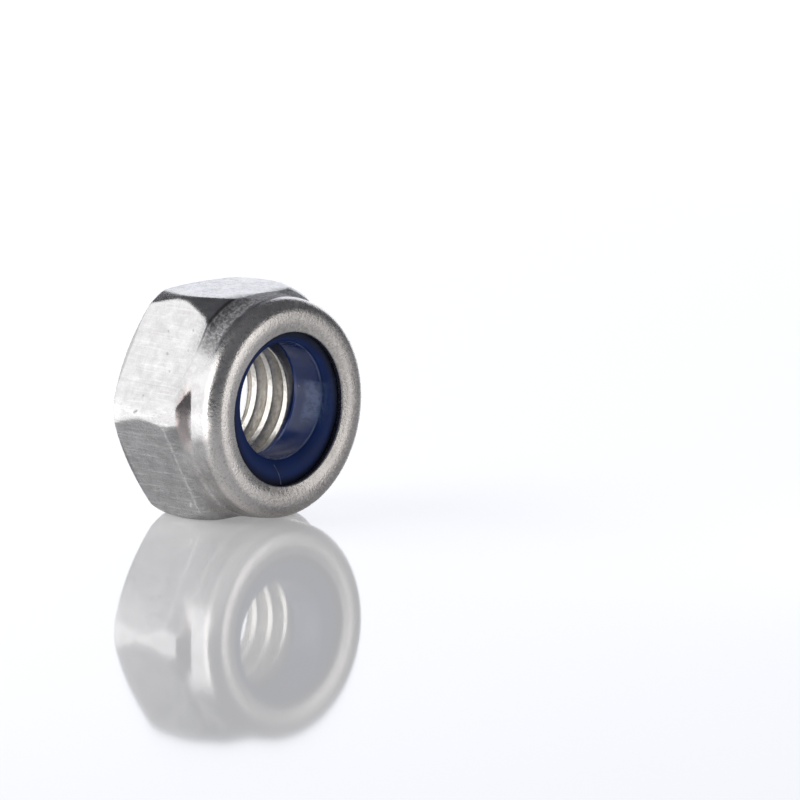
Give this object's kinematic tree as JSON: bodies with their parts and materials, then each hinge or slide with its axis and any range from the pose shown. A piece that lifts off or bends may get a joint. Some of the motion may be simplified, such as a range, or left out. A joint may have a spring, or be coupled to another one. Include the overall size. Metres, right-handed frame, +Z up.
{
  "type": "nylon insert lock nut",
  "caption": "Hexagon lock nut of stainless steel with a shoulder and a thin collar rolled in over a blue nylon ring, lying on one flat.",
  "frame": {"origin": "on the surface that the nut lies on, under the middle of its height", "axes": "+Y along the thread, out of the bearing face; the collar faces -Y; +Z up, through the flat opposite the one it lies on"},
  "size_m": [0.0148, 0.0076, 0.0129],
  "materials": {
    "steel": "cold-formed stainless steel, satin with fine tool marks",
    "nylon": "smooth dark blue nylon, semi-gloss"
  },
  "bodies": {
    "root": {"nut_body": "steel", "nylon_insert": "nylon"}
  },
  "joints": []
}
